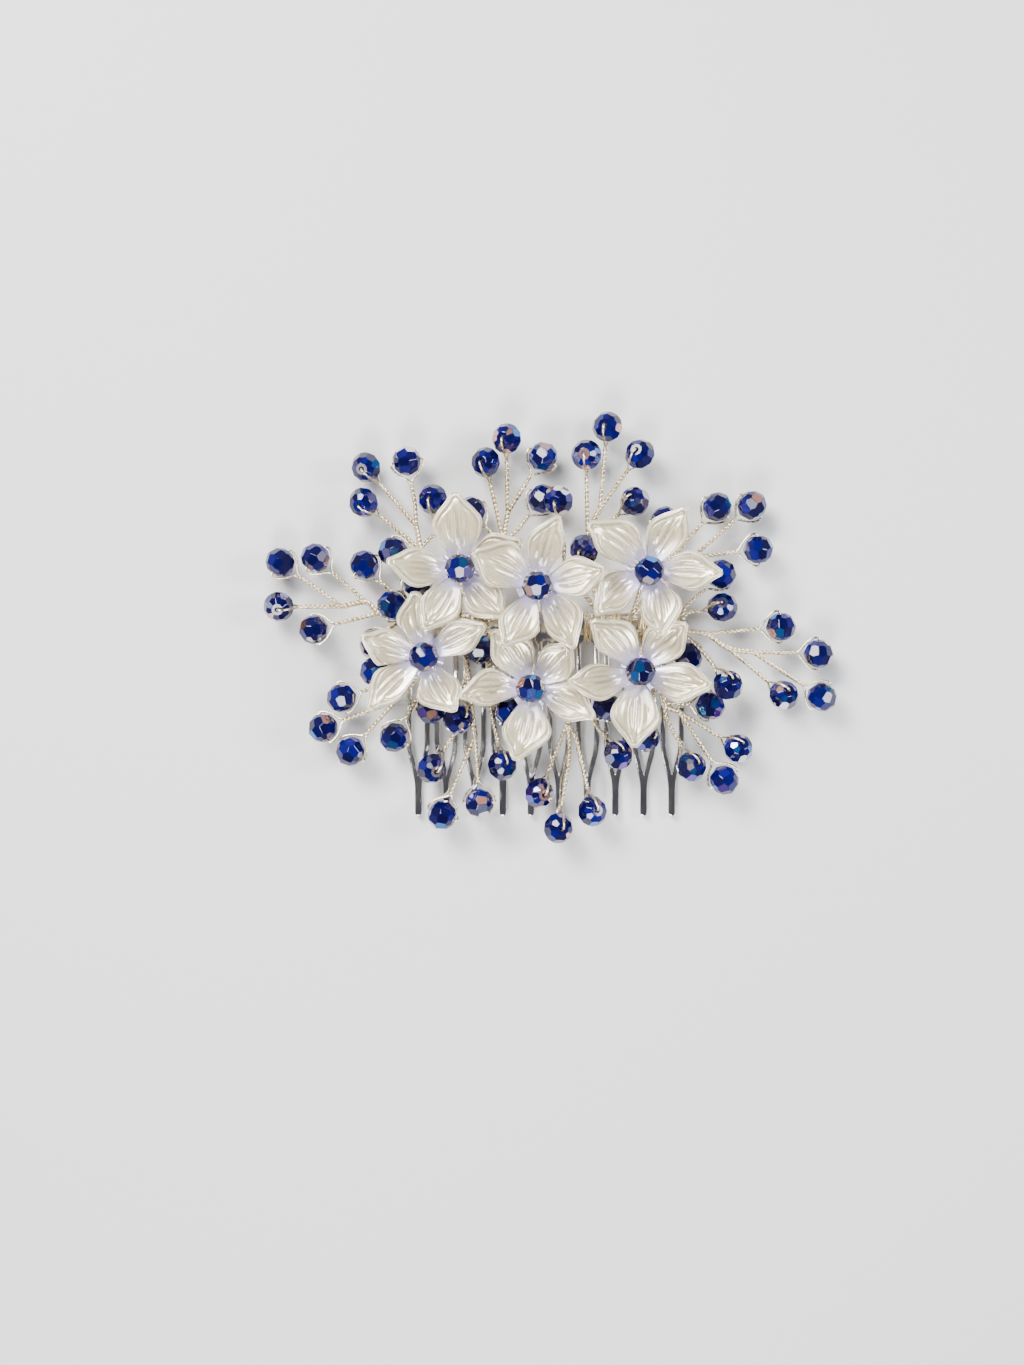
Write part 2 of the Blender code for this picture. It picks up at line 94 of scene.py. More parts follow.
wire = {
    "radius": 0.235 * mm,
    "twist": 1.9 * mm,  # the length of one full turn of a twisted pair
    "bundleTwist": 3.4 * mm,
    "bundleOffset": 1.42,  # from the middle of a bundle of four to each of its wires, in radii
    "step": 0.2 * mm,  # between points along a strand
    "sides": 2,
    "footHeight": 1.95 * mm,
    "riserTop": 4.2 * mm,
    "rowOffset": 1.36 * mm,
    "neck": 1.3 * mm,  # how far below its bead a pair opens
    "overrun": 1.5 * mm,  # how far a foot reaches past its last gap
}

lashing = {
    "radius": 0.2 * mm,
    "turns": (3, 4, 4),  # drawn from, for each tooth
    "spacing": 0.5 * mm,
    "slip": 0.3 * mm,
    "backGap": 0.25 * mm,
    "frontGap": 0.3 * mm,
    "under": -0.25 * mm,
    "aboveFeet": 0.75 * mm,
    "step": 0.35 * mm,
}

bead = {
    "radius": 3.0 * mm,
    "halfLength": 2.6 * mm,
    "holeRadius": 0.5 * mm,
    "ball": 1.12,  # the uncut ball's radius, in finished radii
    "around": 10,  # facets in a row
    "rows": ((21.0, 2.8), (55.0, 2.84)),  # a row's slope in degrees, and its distance from the middle in mm
    "edge": 0.05 * mm,
    "smallFacet": 0.25 * mm * mm,  # a face below this size is an edge or the hole
    "plainShare": 0.8,  # of the facets, the share that shows plain blue
}

flower = {
    "length": 14.5 * mm,
    "halfWidth": 4.9 * mm,
    "thickness": 1.0 * mm,
    "rise": 2.0 * mm,
    "hole": 0.8 * mm,
    "gapRadius": 4.1 * mm,
    "columns": 72,  # along one petal's edge
    "rings": 44,
    "ringCrowding": 1.35,  # above 1, the rings lie closer together towards the petals' edges
    "rimHeight": 0.56 * mm,
    "rimInset": 0.6 * mm,
    "rimWidth": 0.2 * mm,
    "trenchDepth": 0.24 * mm,
    "trenchInset": 1.1 * mm,
    "trenchWidth": 0.24 * mm,
    "veinDepth": 0.5 * mm,
    "veinWidth": 0.3 * mm,
    # how far from the hub the petals stay lilac, and how that fades
    "tintRadius": 3.0 * mm,
    "tintFade": 2.2 * mm,
    # half the petal's width at a share of its length, as shares of its own length and widest half
    "outline": ((0.0, 0.3), (0.2, 0.46), (0.32, 0.66), (0.45, 0.9), (0.56, 1.0), (0.66, 0.96),
                (0.76, 0.76), (0.85, 0.5), (0.93, 0.29), (0.975, 0.17), (1.0, 0.0)),
    # patterns of veins; a vein has its place across, its depth, and the shares of the length it runs between
    "veins": (
        ((0.14, 1.0, 0.3, 0.86), (-0.18, 1.0, 0.34, 0.8), (0.48, 0.4, 0.4, 0.7), (-0.48, 0.3, 0.36, 0.66)),
        ((0.0, 1.0, 0.28, 0.84), (0.34, 1.0, 0.36, 0.74), (-0.34, 0.7, 0.3, 0.78)),
        ((0.06, 1.0, 0.26, 0.8), (0.34, 0.5, 0.28, 0.72), (-0.24, 0.9, 0.3, 0.76), (-0.5, 0.4, 0.3, 0.66)),
    ),
}

# Five petals each: direction in degrees, length as a share, how far the tip hooks to its left in mm, and
# width as a share. Then the gap that the tie wire comes down through, counted from the first petal's left.
flowers = {
    "upper_left": ([(94, 1.04, 0, 1.0), (176, 1.0, -0.6, 0.8), (241, 0.96, -0.4, 0.8),
                    (310, 0.9, 0.8, 0.82), (24, 0.92, 0, 0.8)], 2),
    "upper_middle": ([(77, 1.0, -0.9, 0.74), (149, 0.98, 0.7, 1.0), (243, 0.93, -0.6, 0.82),
                      (306, 0.97, -1.4, 0.82), (14, 0.95, 0, 0.82)], 2),
    "upper_right": ([(62, 1.0, -0.7, 0.8), (136, 1.04, 1.3, 0.9), (213, 0.92, 1.4, 0.82),
                     (287, 0.91, -1.3, 0.84), (1, 1.0, -0.5, 0.8)], 3),
    "lower_left": ([(29, 0.95, -0.4, 0.74), (97, 0.9, 0.4, 0.95), (165, 0.9, -0.7, 0.8),
                    (220, 1.05, 0.9, 0.74), (295, 0.85, 1.0, 0.9)], 1),
    "lower_middle": ([(46, 0.84, 0.5, 0.82), (119, 0.96, 1.1, 0.86), (181, 0.99, 1.3, 0.76),
                      (262, 1.0, -1.1, 0.98), (339, 0.96, -0.8, 0.76)], 0),
    "lower_right": ([(49, 0.91, -0.6, 0.86), (128, 0.96, 1.4, 0.84), (192, 1.0, -0.9, 0.76),
                     (265, 1.03, 0.2, 1.0), (347, 1.0, 0.6, 0.82)], 0),
}

# Each spray: the side of the spine its foot lies on, the gaps between teeth its foot spans, the flowers that
# it ties, and its branches. A branch has its start, the points on its way in mm (x, y, height above the
# crown, some with a name) and its bead: True for the next numbered bead, a place and roll for one tucked
# away, and None for a trunk.
sprays = {
    "upper_left": {
        "row": 1,
        "foot": (-4, -3),
        "ties": {"upper_left": -3},
        "branches": [
            (-4, [(-24.5, 8.5, 2.2), ("low", -25.1, 15.3, 2.4), ("fork", -25.9, 19.9, 2.4)], None),
            ("fork", [], True),
            ("fork", [(-26.2, 24.5, 2.6)], True),
            ("low", [], True),
            ("low", [(-22.1, 18.6, 2.8)], True),
            (-4, [("elbow", -28.0, 1.2, 1.9), ("near", -33.4, 2.4, 2.1), ("mid", -36.0, 4.6, 2.2),
                  ("far", -40.8, 3.7, 2.2)], None),
            ("far", [], True),
            ("far", [], True),
            ("mid", [], True),
            ("near", [], True),
            ("elbow", [(-30.4, 6.0, 2.2)], True),
            ("elbow", [(-26.4, 2.2, 5.0)], True),
            ("low", [], (-30.6, 14.8, 2.2, 10)),
            ("elbow", [(-27.6, 3.6, 4.6)], (-25.4, 8.1, 6.2, 20)),
            ("elbow", [(-31.4, -0.6, 2.0)], (-34.4, -3.9, 1.2, 15)),
        ],
    },
    "upper_middle": {
        "row": 1,
        "foot": (-2, -1),
        "ties": {"upper_middle": -1},
        "branches": [
            (-2, [(-9.6, 9.0, 2.3), ("low", -8.5, 17.1, 2.4), ("fork", -7.6, 22.4, 2.6)], None),
            ("low", [], True),
            ("fork", [], True),
            ("fork", [], True),
            ("low", [(-6.0, 18.6, 2.0)], (-0.6, 25.4, 1.4, 5)),
            ("low", [(-10.8, 18.4, 2.6)], (-14.9, 22.8, 2.8, 12)),
        ],
    },
    "upper_right": {
        "row": 1,
        "foot": (2, 3),
        "ties": {"upper_right": 3},
        "branches": [
            (2, [(9.3, 9.5, 2.3), ("low", 8.4, 17.6, 2.4), ("fork", 10.9, 23.2, 2.4)], None),
            ("fork", [], True),
            ("fork", [], True),
            ("low", [], True),
            ("low", [(12.6, 20.4, 2.6)], True),
            (3, [(21.5, 7.5, 2.3), ("side", 25.2, 13.2, 2.4), ("twig", 29.6, 13.6, 2.4)], None),
            ("side", [], True),
            ("twig", [], True),
            ("twig", [], True),
            (2, [(4.4, 11.0, 4.0), (3.6, 16.0, 6.0)], (2.4, 24.5, 7.4, 72)),
            (2, [(6.8, 8.0, 4.6)], (7.6, 14.9, 6.0, 70)),
            ("side", [(23.4, 15.0, 2.6)], (24.0, 20.8, 2.6, 15)),
        ],
    },
    "right": {
        "row": 1,
        "foot": (4, 4.6),
        "ties": {},
        "branches": [
            (4, [("root", 26.9, -0.8, 2.0), ("near", 32.2, -1.8, 2.2), ("mid", 36.6, -4.6, 2.2),
                 ("far", 41.5, -5.4, 2.3)], None),
            ("near", [], True),
            ("far", [], True),
            ("far", [], True),
            ("mid", [], True),
            ("root", [(28.2, 2.3, 2.6)], True),
            ("root", [(31.4, -5.4, 4.2)], True),
            ("root", [(28.0, 3.6, 2.8)], (35.2, 10.2, 3.4, 20)),
            ("root", [], (28.6, -6.4, 2.2, 8)),
        ],
    },
    "lower_right": {
        "row": -1,
        "foot": (1, 4),
        "ties": {"lower_right": 3},
        "branches": [
            (1, [("root", 4.7, -10.0, 2.6), ("fork", 4.4, -19.6, 3.0)], None),
            ("fork", [(6.3, -23.4, 3.1)], True),
            ("fork", [(4.7, -26.0, 3.2)], True),
            ("fork", [], True),
            (4, [("bend", 23.0, -9.0, 2.5), ("side", 23.7, -15.6, 3.0), ("twig", 26.7, -17.3, 3.0)], None),
            ("twig", [], True),
            ("twig", [], True),
            ("side", [(24.4, -19.0, 3.2)], True),
            ("root", [(9.5, -19.0, 3.0)], (14.5, -25.9, 3.8, 62)),
            ("root", [(7.6, -13.0, 3.0)], (12.2, -16.4, 3.6, 15)),
            ("bend", [(21.6, -15.0, 3.0)], (19.9, -22.4, 3.8, 55)),
            ("side", [], (33.1, -16.1, 1.8, 8)),
        ],
    },
    "lower_left": {
        "row": -1,
        "foot": (-4, -2),
        "ties": {"lower_left": -4, "lower_middle": -2},
        "branches": [
            (-4, [("root", -24.6, -8.6, 2.4), ("fork", -30.0, -15.2, 2.5)], None),
            ("root", [(-25.7, -14.4, 2.7)], True),
            ("fork", [], True),
            ("fork", [], True),
            ("root", [(-33.6, -12.2, 2.4)], True),
            (-3, [("stem", -15.6, -9.0, 2.8), ("low", -14.8, -16.4, 3.0), ("twig", -14.1, -22.2, 3.1)], None),
            ("twig", [], True),
            ("twig", [], True),
            ("low", [], True),
            (-2, [("lane", -10.9, -16.2, 3.0)], True),
            ("root", [(-29.0, -8.4, 2.2)], (-34.2, -9.3, 3.5, 12)),
            ("root", [(-24.4, -11.6, 3.0)], (-22.9, -16.9, 3.1, 20)),
            ("stem", [(-16.6, -12.2, 3.2)], (-17.5, -18.8, 5.1, 58)),
            (-2, [], (-13.0, -4.9, 3.8, 30)),
            (-2, [(-9.0, -12.0, 3.0)], (-7.2, -17.6, 3.6, 40)),
        ],
    },
}

# Soft boxes that all face the comb: place in m, width in m, power in W and colour
softBoxes = (
    ((-0.24, 0.28, 0.42), 0.22, 5.6, (1.0, 0.97, 0.92)),
    ((0.38, 0.06, 0.32), 0.16, 2.2, (0.94, 0.97, 1.0)),
    ((-0.08, -0.32, 0.42), 0.18, 2.9, (1.0, 0.99, 0.97)),
    ((-0.12, 0.15, 0.6), 0.2, 1.5, (1.0, 1.0, 1.0)),
)


def deselectAll():
    if bpy.context.object and bpy.context.object.mode != "OBJECT":
        bpy.ops.object.mode_set(mode="OBJECT")
    bpy.ops.object.select_all(action="DESELECT")


def makeActive(piece):
    deselectAll()
    piece.select_set(True)
    bpy.context.view_layer.objects.active = piece


def applyModifiers(piece):
    makeActive(piece)
    for modifier in list(piece.modifiers):
        bpy.ops.object.modifier_apply(modifier=modifier.name)


def principled(name):
    material = bpy.data.materials.new(name)
    material.use_nodes = True
    return material, material.node_tree, material.node_tree.nodes["Principled BSDF"]


def addNode(tree, kind, **values):
    node = tree.nodes.new(kind)
    for key, value in values.items():
        setattr(node, key, value)
    return node


def ramp(tree, stops, source):
    node = tree.nodes.new("ShaderNodeValToRGB")
    while len(node.color_ramp.elements) < len(stops):
        node.color_ramp.elements.new(0.5)
    for element, (place, colour) in zip(node.color_ramp.elements, stops):
        element.position = place
        element.color = (*colour, 1)
    tree.links.new(source, node.inputs["Fac"])
    return node.outputs["Color"]


def buildHandlingWear():
    # slight unevenness of a handled surface: a roughness and a height that both change over it
    group = bpy.data.node_groups.new("handlingWear", "ShaderNodeTree")
    for name, start in (("Scale", 900.0), ("Roughness", 0.15), ("Spread", 0.1), ("Stretch", 1.0)):
        group.interface.new_socket(name, in_out="INPUT", socket_type="NodeSocketFloat").default_value = start
    group.interface.new_socket("Roughness", in_out="OUTPUT", socket_type="NodeSocketFloat")
    group.interface.new_socket("Height", in_out="OUTPUT", socket_type="NodeSocketFloat")
    entry = group.nodes.new("NodeGroupInput")
    out = group.nodes.new("NodeGroupOutput")
    places = group.nodes.new("ShaderNodeTexCoord")
    stretch = addNode(group, "ShaderNodeCombineXYZ")
    stretch.inputs["X"].default_value = stretch.inputs["Z"].default_value = 1.0
    spread = addNode(group, "ShaderNodeVectorMath", operation="MULTIPLY")
    noise = group.nodes.new("ShaderNodeTexNoise")
    noise.inputs["Detail"].default_value = 5
    patches = addNode(group, "ShaderNodeMapRange", clamp=False)
    patches.inputs["From Min"].default_value = 0.35
    patches.inputs["From Max"].default_value = 0.65
    rougher = addNode(group, "ShaderNodeMath", operation="ADD")
    group.links.new(entry.outputs["Stretch"], stretch.inputs["Y"])
    group.links.new(places.outputs["Object"], spread.inputs[0])
    group.links.new(stretch.outputs["Vector"], spread.inputs[1])
    group.links.new(spread.outputs["Vector"], noise.inputs["Vector"])
    group.links.new(entry.outputs["Scale"], noise.inputs["Scale"])
    group.links.new(noise.outputs["Fac"], patches.inputs["Value"])
    group.links.new(entry.outputs["Spread"], patches.inputs["To Max"])
    group.links.new(entry.outputs["Roughness"], rougher.inputs[0])
    group.links.new(patches.outputs["Result"], rougher.inputs[1])
    group.links.new(rougher.outputs["Value"], out.inputs["Roughness"])
    group.links.new(noise.outputs["Fac"], out.inputs["Height"])
    return group


def addWear(tree, shader, scale, roughness, spread, stretch=1.0, bump=0.0, depth=0.02 * mm):
    wear = addNode(tree, "ShaderNodeGroup", node_tree=handlingWear)
    for name, value in (("Scale", scale), ("Roughness", roughness), ("Spread", spread), ("Stretch", stretch)):
        wear.inputs[name].default_value = value
    tree.links.new(wear.outputs["Roughness"], shader.inputs["Roughness"])
    if bump:
        relief = tree.nodes.new("ShaderNodeBump")
        relief.inputs["Strength"].default_value = bump
        relief.inputs["Distance"].default_value = depth
        tree.links.new(wear.outputs["Height"], relief.inputs["Height"])
        tree.links.new(relief.outputs["Normal"], shader.inputs["Normal"])


def metalMaterial(name, light, dark, roughness, spread, scale, bump, stretch=1.0, depth=0.02 * mm):
    material, tree, shader = principled(name)
    shader.inputs["Metallic"].default_value = 1.0
    places = tree.nodes.new("ShaderNodeTexCoord")
    tarnish = tree.nodes.new("ShaderNodeTexNoise")
    tarnish.inputs["Scale"].default_value = scale * 0.25
    tarnish.inputs["Detail"].default_value = 4
    tree.links.new(places.outputs["Object"], tarnish.inputs["Vector"])
    tone = ramp(tree, ((0.35, dark), (0.6, light)), tarnish.outputs["Fac"])
    tree.links.new(tone, shader.inputs["Base Color"])
    addWear(tree, shader, scale, roughness, spread, stretch, bump, depth)
    return material


def glassMaterial():
    # cobalt glass under an iridescent coat: each facet has its own share of the coat's colours
    material, tree, shader = principled("cobaltGlass")
    tone = addNode(tree, "ShaderNodeAttribute", attribute_name="facetTone")
    coat = addNode(tree, "ShaderNodeAttribute", attribute_name="facetCoat")
    colours = (
        (0.0, (0.003, 0.002, 0.035)),
        (0.35, (0.004, 0.002, 0.08)),
        (0.62, (0.008, 0.005, 0.22)),
        (0.7, (0.01, 0.18, 0.50)),
        (0.78, (0.14, 0.04, 0.38)),
        (0.86, (0.36, 0.42, 0.66)),
        (0.94, (0.70, 0.33, 0.22)),
        (1.0, (0.72, 0.80, 0.92)),
    )
    tree.links.new(ramp(tree, colours, tone.outputs["Fac"]), shader.inputs["Base Color"])
    tree.links.new(coat.outputs["Fac"], shader.inputs["Metallic"])
    addWear(tree, shader, 700, 0.015, 0.03)
    shader.inputs["IOR"].default_value = 1.36
    shader.inputs["Transmission Weight"].default_value = 0.4
    shader.inputs["Coat Weight"].default_value = 0.25
    shader.inputs["Coat Roughness"].default_value = 0.01
    shader.inputs["Coat IOR"].default_value = 1.75
    return material


def pearlMaterial():
    # ivory moulding whose lengthwise streaks give its bumps and a painted pearl sheen in its colour, lilac
    # towards the hub, with painted shade in its grooves and a painted highlight on its rim
    material, tree, shader = principled("pearlPetal")
    hub = addNode(tree, "ShaderNodeAttribute", attribute_name="hubTint")
    groove = addNode(tree, "ShaderNodeAttribute", attribute_name="groovePaintedShade")
    rim = addNode(tree, "ShaderNodeAttribute", attribute_name="rimPaintedHighlight")
    lengthwise = addNode(tree, "ShaderNodeUVMap", uv_map="petalWay")
    spread = addNode(tree, "ShaderNodeVectorMath", operation="MULTIPLY")
    spread.inputs[1].default_value = (180, 1500, 0)
    streak = tree.nodes.new("ShaderNodeTexNoise")
    streak.inputs["Scale"].default_value = 1
    streak.inputs["Detail"].default_value = 4
    tree.links.new(lengthwise.outputs["UV"], spread.inputs[0])
    tree.links.new(spread.outputs["Vector"], streak.inputs["Vector"])
    # the lighter streaks in the colour are a painted pearl sheen; the bump below uses the same streaks
    ivory = ramp(tree, ((0.35, (0.56, 0.48, 0.305)), (0.65, (0.75, 0.675, 0.465))), streak.outputs["Fac"])
    # painted shade: the veins and the trench inside the rim are darkened towards brown
    withPaintedGrooveShade = addNode(tree, "ShaderNodeMix", data_type="RGBA")
    tree.links.new(groove.outputs["Fac"], withPaintedGrooveShade.inputs["Factor"])
    tree.links.new(ivory, withPaintedGrooveShade.inputs["A"])
    withPaintedGrooveShade.inputs["B"].default_value = (0.36, 0.31, 0.21, 1)
    # painted highlight: the rim is lightened towards near-white
    withPaintedRimHighlight = addNode(tree, "ShaderNodeMix", data_type="RGBA")
    tree.links.new(rim.outputs["Fac"], withPaintedRimHighlight.inputs["Factor"])
    tree.links.new(withPaintedGrooveShade.outputs["Result"], withPaintedRimHighlight.inputs["A"])
    withPaintedRimHighlight.inputs["B"].default_value = (0.97, 0.92, 0.80, 1)
    # lilac towards the hub
    tinted = addNode(tree, "ShaderNodeMix", data_type="RGBA")
    tree.links.new(hub.outputs["Fac"], tinted.inputs["Factor"])
    tree.links.new(withPaintedRimHighlight.outputs["Result"], tinted.inputs["A"])
    tinted.inputs["B"].default_value = (0.50, 0.47, 0.82, 1)
    tree.links.new(tinted.outputs["Result"], shader.inputs["Base Color"])
    relief = tree.nodes.new("ShaderNodeBump")
    relief.inputs["Strength"].default_value = 0.2
    relief.inputs["Distance"].default_value = 0.03 * mm
    tree.links.new(streak.outputs["Fac"], relief.inputs["Height"])
    tree.links.new(relief.outputs["Normal"], shader.inputs["Normal"])
    addWear(tree, shader, 420, 0.2, 0.1)
    shader.inputs["Metallic"].default_value = 0.3
    shader.inputs["Subsurface Weight"].default_value = 0.08
    shader.inputs["Subsurface Radius"].default_value = (1.0, 0.85, 0.7)
    shader.inputs["Subsurface Scale"].default_value = 0.8 * mm
    shader.inputs["Coat Weight"].default_value = 1.0
    shader.inputs["Coat IOR"].default_value = 1.75
    shader.inputs["Coat Roughness"].default_value = 0.17
    shader.inputs["IOR"].default_value = 1.6
    return material


handlingWear = buildHandlingWear()
finishes = {
    "comb": metalMaterial("mirrorPlate", (0.97, 0.96, 0.95), (0.86, 0.85, 0.84), 0.05, 0.1, 520, 0.9,
                          stretch=0.4, depth=0.09 * mm),
    "wire": metalMaterial("champagneWire", (0.94, 0.83, 0.62), (0.68, 0.57, 0.38), 0.2, 0.12, 1500, 0.0),
    "binding": metalMaterial("paleGoldWire", (0.92, 0.77, 0.50), (0.74, 0.57, 0.32), 0.26, 0.12, 1500, 0.0),
    "bead": glassMaterial(),
    "petal": pearlMaterial(),
}
print("materials ready")


def finishPiece(piece, slotName, body, *nodes):
    piece.data.materials.clear()
    piece.data.materials.append(finishes[slotName])
    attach(piece, body)
    if nodes:
        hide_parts(*nodes)
    return piece


def meshPiece(name, mesh):
    piece = bpy.data.objects.new(name, mesh)
    bpy.context.scene.collection.objects.link(piece)
    return piece


def strandPiece(name, strands, radius):
    # every strand as one round wire with closed ends, all in one piece
    curve = bpy.data.curves.new(name, "CURVE")
    curve.dimensions = "3D"
    curve.bevel_depth = radius
    curve.bevel_resolution = wire["sides"]
    curve.use_fill_caps = True
    for points in strands:
        spline = curve.splines.new("POLY")
        spline.points.add(len(points) - 1)
        for spot, point in zip(spline.points, points):
            spot.co = (*point, 1)
    piece = bpy.data.objects.new(name, curve)
    bpy.context.scene.collection.objects.link(piece)
    makeActive(piece)
    bpy.ops.object.convert(target="MESH")
    piece = bpy.context.object
    bpy.ops.object.mode_set(mode="EDIT")
    bpy.ops.mesh.select_all(action="SELECT")
    bpy.ops.mesh.remove_doubles(threshold=0.002 * mm)
    bpy.ops.mesh.normals_make_consistent(inside=False)
    bpy.ops.object.mode_set(mode="OBJECT")
    bpy.ops.object.shade_smooth()
    return piece


def smoothPath(points, step):
    # an even run of points on a smooth curve through the given ones
    if len(points) == 2:
        count = max(2, round((points[1] - points[0]).length / step))
        return [points[0].lerp(points[1], i / count) for i in range(count + 1)]
    padded = [2 * points[0] - points[1]] + list(points) + [2 * points[-1] - points[-2]]
    dense = []
    for i in range(1, len(padded) - 2):
        a, b, c, d = padded[i - 1:i + 3]
        for j in range(24):
            t = j / 24
            dense.append(0.5 * ((2 * b) + (c - a) * t + (2 * a - 5 * b + 4 * c - d) * t * t
                                + (3 * b - a - 3 * c + d) * t ** 3))
    dense.append(points[-1].copy())
    run = [0.0]
    for before, after in zip(dense, dense[1:]):
        run.append(run[-1] + (after - before).length)
    count = max(2, round(run[-1] / step))
    path, at = [], 0
    for i in range(count + 1):
        goal = run[-1] * i / count
        while at < len(run) - 2 and run[at + 1] < goal:
            at += 1
        span = max(run[at + 1] - run[at], 1e-12)
        path.append(dense[at].lerp(dense[at + 1], min((goal - run[at]) / span, 1.0)))
    return path


def twisted(path, count, offset, turn, endAxis=None):
    # strands wound round each other along a path; the first one ends on the side of endAxis
    last = len(path) - 1
    tangents = [(path[min(i + 1, last)] - path[max(i - 1, 0)]).normalized() for i in range(last + 1)]
    normal = tangents[0].orthogonal().normalized()
    normals = []
    for tangent in tangents:
        normal = (normal - tangent * normal.dot(tangent)).normalized()
        normals.append(normal)
    run = [0.0]
    for before, after in zip(path, path[1:]):
        run.append(run[-1] + (after - before).length)
    phase = 0.0
    if endAxis is not None:
        side = tangents[-1].cross(normals[-1])
        phase = math.atan2(endAxis.dot(side), endAxis.dot(normals[-1])) - math.tau * run[-1] / turn
    strands = []
    for strand in range(count):
        points = []
        for spot, tangent, out, distance in zip(path, tangents, normals, run):
            angle = phase + math.tau * (distance / turn + strand / count)
            points.append(spot + (out * math.cos(angle) + tangent.cross(out) * math.sin(angle)) * offset)
        strands.append(points)
    return strands


def bundled(path):
    return twisted(path, 4, wire["radius"] * wire["bundleOffset"], wire["bundleTwist"])


def place(point):
    return Vector((point[0] * mm, point[1] * mm, crown + point[2] * mm))


def holeAxisFor(stem, roll):
    level = Vector((-stem.y, stem.x, 0)).normalized()
    return (Matrix.Rotation(math.radians(roll), 3, stem) @ level).normalized()


def beadWire(route, centre, axis):
    # one wire: up the stem, round the bead through its hole, and back down twisted with itself
    stem = (centre - route[-1]).normalized()
    stem = (stem - axis * stem.dot(axis)).normalized()
    neck = centre - stem * (bead["radius"] + wire["neck"])
    path = smoothPath(route + [neck], wire["step"])
    up, down = twisted(path, 2, wire["radius"], wire["twist"], axis)
    reach, half = bead["radius"], bead["halfLength"]
    side = [
        (-(reach + 0.75 * mm), 0.62 * mm),
        (-(reach - 0.1 * mm), 1.75 * mm),
        (-0.66 * reach, half + 0.05 * mm),
        (-0.3 * reach, half + 0.62 * mm),
        (-0.06 * reach, half + 0.55 * mm),
        (0.0, half + 0.1 * mm),
        (0.0, half - 0.7 * mm),
    ]
    loop = [up[-1]] + [centre + stem * u + axis * h for u, h in side]
    loop += [centre + stem * u - axis * h for u, h in reversed(side)] + [down[-1]]
    return up[:-1] + smoothPath(loop, wire["step"]) + list(reversed(down[:-1]))


def buildBeadShape():
    # a ball cut flat by planes, the way a glass bead is faceted, then drilled
    deselectAll()
    bpy.ops.mesh.primitive_uv_sphere_add(segments=40, ring_count=24, radius=bead["radius"] * bead["ball"])
    ball = bpy.context.object
    bpy.ops.object.mode_set(mode="EDIT")
    cuts = [(Vector((0, 0, 1)), bead["halfLength"]), (Vector((0, 0, -1)), bead["halfLength"])]
    for row, (slope, distance) in enumerate(bead["rows"]):
        for facet in range(bead["around"]):
            for end in (1, -1):
                turn = facet + (0.5 if (row % 2) == (end < 0) else 0)
                angle = math.tau * turn / bead["around"]
                lean = math.radians(slope)
                normal = Vector((math.cos(angle) * math.cos(lean), math.sin(angle) * math.cos(lean),
                                 end * math.sin(lean)))
                cuts.append((normal, distance * mm))
    for normal, distance in cuts:
        bpy.ops.mesh.select_all(action="SELECT")
        bpy.ops.mesh.bisect(plane_co=normal * distance, plane_no=normal, use_fill=True, clear_outer=True)
    bpy.ops.mesh.select_all(action="SELECT")
    bpy.ops.mesh.remove_doubles(threshold=0.01 * mm)
    bpy.ops.mesh.dissolve_limited(angle_limit=math.radians(1))
    bpy.ops.mesh.normals_make_consistent(inside=False)
    bpy.ops.object.mode_set(mode="OBJECT")
    deselectAll()
    bpy.ops.mesh.primitive_cylinder_add(vertices=16, radius=bead["holeRadius"], depth=bead["halfLength"] * 3)
    drill = bpy.context.object
    hole = ball.modifiers.new("hole", "BOOLEAN")
    hole.operation = "DIFFERENCE"
    hole.object = drill
    edge = ball.modifiers.new("edge", "BEVEL")
    edge.width = bead["edge"]
    edge.segments = 1
    edge.limit_method = "ANGLE"
    edge.angle_limit = math.radians(8)
    applyModifiers(ball)
    bpy.data.objects.remove(drill)
    shape = ball.data
    bpy.data.objects.remove(ball)
    return shape


def addBead(name, body, centre, axis, draw, *nodes):
    # a bead turned at random about its hole; its facets share out the coat's tones
    mesh = beadShape.copy()
    spin = Matrix.Rotation(draw.uniform(0, math.tau), 4, "Z")
    turn = Vector((0, 0, 1)).rotation_difference(axis).to_matrix().to_4x4()
    mesh.transform(Matrix.Translation(centre) @ turn @ spin)
    tones, coats, known = [], [], {}
    for face in mesh.polygons:
        key = tuple(round(part, 1) for part in face.normal)
        if face.area < bead["smallFacet"]:
            tones.append(0.45)
            coats.append(0.2)
            continue
        if key not in known:
            plain = draw.random() < bead["plainShare"]
            tone = draw.uniform(0.0, 0.62) if plain else draw.uniform(0.64, 1.0)
            known[key] = (tone, draw.uniform(0.0, 0.12) if tone < 0.62 else draw.uniform(0.45, 0.9))
        tones.append(known[key][0])
        coats.append(known[key][1])
    for attribute, values in (("facetTone", tones), ("facetCoat", coats)):
        mesh.attributes.new(attribute, "FLOAT", "FACE").data.foreach_set("value", values)
    return finishPiece(meshPiece(name, mesh), "bead", body, *nodes)


beadShape = buildBeadShape()
print("bead shape:", len(beadShape.polygons), "faces")


def riser(gap, row):
    # the start of every stem: straight up through a gap between two teeth
    x = gap * comb["pitch"]
    y = row * wire["rowOffset"]
    return [Vector((x, y, wire["footHeight"])), Vector((x, y, wire["riserTop"]))]


